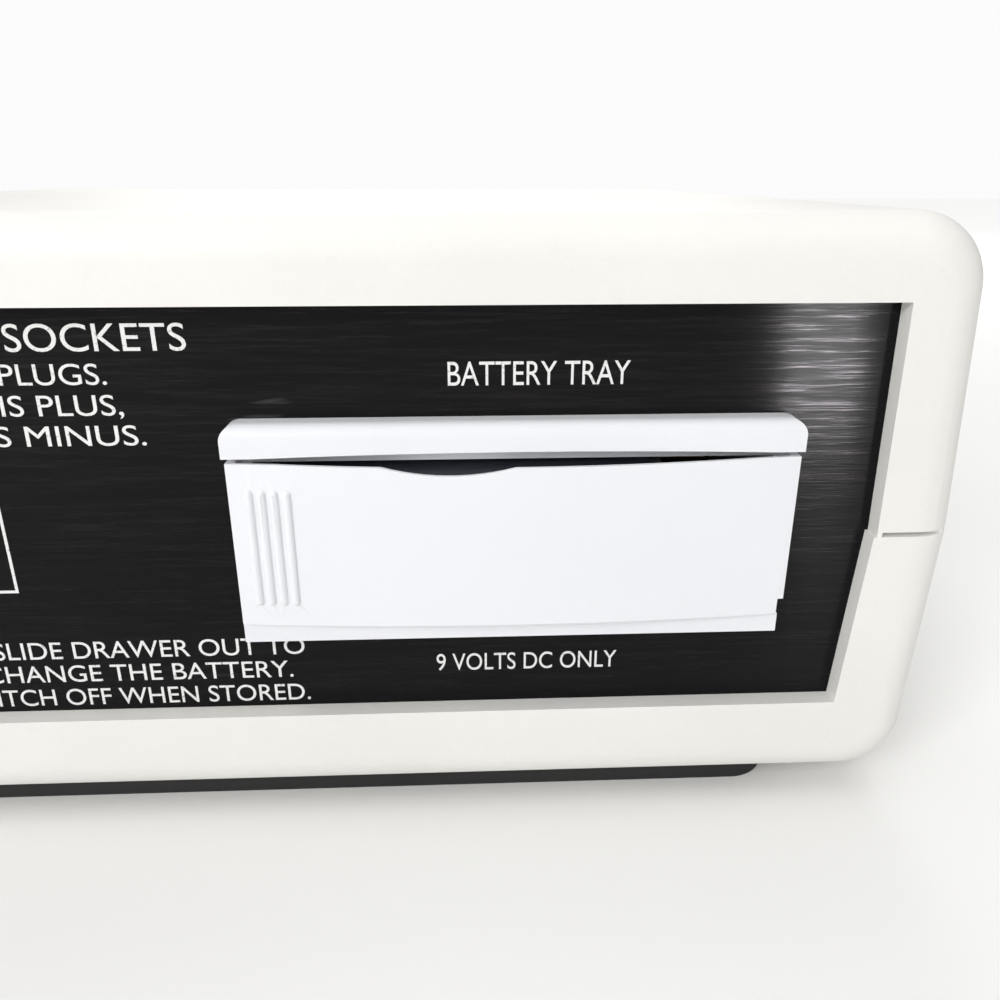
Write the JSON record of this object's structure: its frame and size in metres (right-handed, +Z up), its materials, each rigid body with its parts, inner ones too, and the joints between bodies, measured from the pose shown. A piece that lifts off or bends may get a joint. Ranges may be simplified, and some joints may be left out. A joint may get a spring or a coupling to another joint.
{
  "type": "tens unit",
  "caption": "Bench-top nerve stimulator in a two-shell case, with knobs and switches on the front panel, and electrode sockets and a slide-out 9 V battery drawer on the rear panel",
  "frame": {"origin": "middle of the whole object's footprint, on the surface that the rubber strips stand on", "axes": "+X across the case, to the right as seen from the front; +Y points out of the rear panel; +Z up"},
  "size_m": [0.175, 0.1747, 0.076],
  "materials": {
    "shell_plastic": "fine moulded texture, warm off-white",
    "drawer_plastic": "smooth moulded, cool white",
    "panel_black": "brushed sideways and black anodised",
    "foot_rubber": "matt",
    "steel": "nickel plated",
    "screw_steel": "zinc plated",
    "brass": "plain",
    "knob_plastic": "satin, fluted",
    "knob_metal": "spun",
    "black_plastic": "satin",
    "red_plastic": "satin",
    "battery_print": "printed film over steel",
    "battery_ends": "pressed fibre",
    "lamp_green": "clear tinted resin",
    "lamp_red": "clear tinted resin",
    "board_laminate": "solder resist over glass laminate",
    "ribbon_grey": "soft ribbed",
    "core_iron": "stacked laminations, varnished",
    "coil_copper": "enamelled copper wire",
    "capacitor_sleeve": "shrunk sleeve",
    "chip_resin": "moulded resin",
    "resistor_body": "dipped",
    "header_nylon": "nylon",
    "wire_red": "wire insulation",
    "wire_black": "wire insulation"
  },
  "bodies": {
    "case": {"lower_shell": "shell_plastic", "upper_shell": "shell_plastic", "rear_panel": "panel_black", "front_panel": "panel_black", "case_screws": "screw_steel", "rear_foot_strip": "foot_rubber", "front_foot_strip": "foot_rubber", "drawer_housing": "drawer_plastic", "battery_contacts": "brass", "output_jack_red": "red_plastic", "output_jack_black": "black_plastic", "jack_sockets": "brass", "jack_nuts": "steel", "intensity_pot": "steel", "rate_pot": "steel", "width_pot": "steel", "pot_nuts": "steel", "power_switch_body": "black_plastic", "power_switch_terminals": "brass", "pulse_button_body": "steel", "pulse_button_nut": "steel", "mode_switch_body": "steel", "mode_switch_nut": "steel", "power_led": "lamp_green", "pulse_led": "lamp_red", "led_bezels": "steel", "main_board": "board_laminate", "board_screws": "screw_steel", "control_board": "board_laminate", "ribbon_cable": "ribbon_grey", "transformer_core": "core_iron", "transformer_coil": "coil_copper", "capacitors": "capacitor_sleeve", "chips": "chip_resin", "resistors": "resistor_body", "board_headers": "header_nylon", "battery_lead_red": "wire_red", "battery_lead_black": "wire_black", "output_lead_red": "wire_red", "output_lead_black": "wire_black"},
    "battery_drawer": {"battery_drawer": "drawer_plastic", "battery_jacket": "battery_print", "battery_end_plates": "battery_ends", "battery_snaps": "steel"},
    "intensity_control": {"intensity_shaft": "steel", "intensity_knob": "knob_plastic", "intensity_knob_cap": "knob_metal"},
    "rate_control": {"rate_shaft": "steel", "rate_knob": "knob_plastic", "rate_knob_cap": "knob_metal"},
    "width_control": {"width_shaft": "steel", "width_knob": "knob_plastic", "width_knob_cap": "knob_metal"},
    "power_rocker": {"power_rocker": "red_plastic"},
    "pulse_button": {"pulse_button_cap": "red_plastic"},
    "mode_toggle": {"mode_toggle": "steel"}
  },
  "joints": [
    {"name": "battery_drawer_slide", "type": "slide", "parent": "case", "child": "battery_drawer", "axis": [0, 1, 0], "range_m": [0, 0.028]},
    {"name": "intensity_turn", "type": "hinge", "parent": "case", "child": "intensity_control", "pos_m": [-0.0148, -0.07225, 0.04125], "axis": [0, 1, 0], "range_deg": [0, 300]},
    {"name": "rate_turn", "type": "hinge", "parent": "case", "child": "rate_control", "pos_m": [0.0192, -0.07225, 0.04125], "axis": [0, 1, 0], "range_deg": [-150, 150]},
    {"name": "width_turn", "type": "hinge", "parent": "case", "child": "width_control", "pos_m": [0.0432, -0.07225, 0.04125], "axis": [0, 1, 0], "range_deg": [-150, 150]},
    {"name": "power_rocker_tilt", "type": "hinge", "parent": "case", "child": "power_rocker", "pos_m": [-0.0643, -0.07025, 0.04125], "axis": [-1, 0, 0], "range_deg": [0, 20]},
    {"name": "pulse_button_press", "type": "slide", "parent": "case", "child": "pulse_button", "axis": [0, 1, 0], "range_m": [0, 0.002], "stiffness_N_per_m": 300, "springref_m": -0.003},
    {"name": "mode_toggle_tilt", "type": "hinge", "parent": "case", "child": "mode_toggle", "pos_m": [-0.0468, -0.07625, 0.03525], "axis": [-1, 0, 0], "range_deg": [0, 24]}
  ]
}
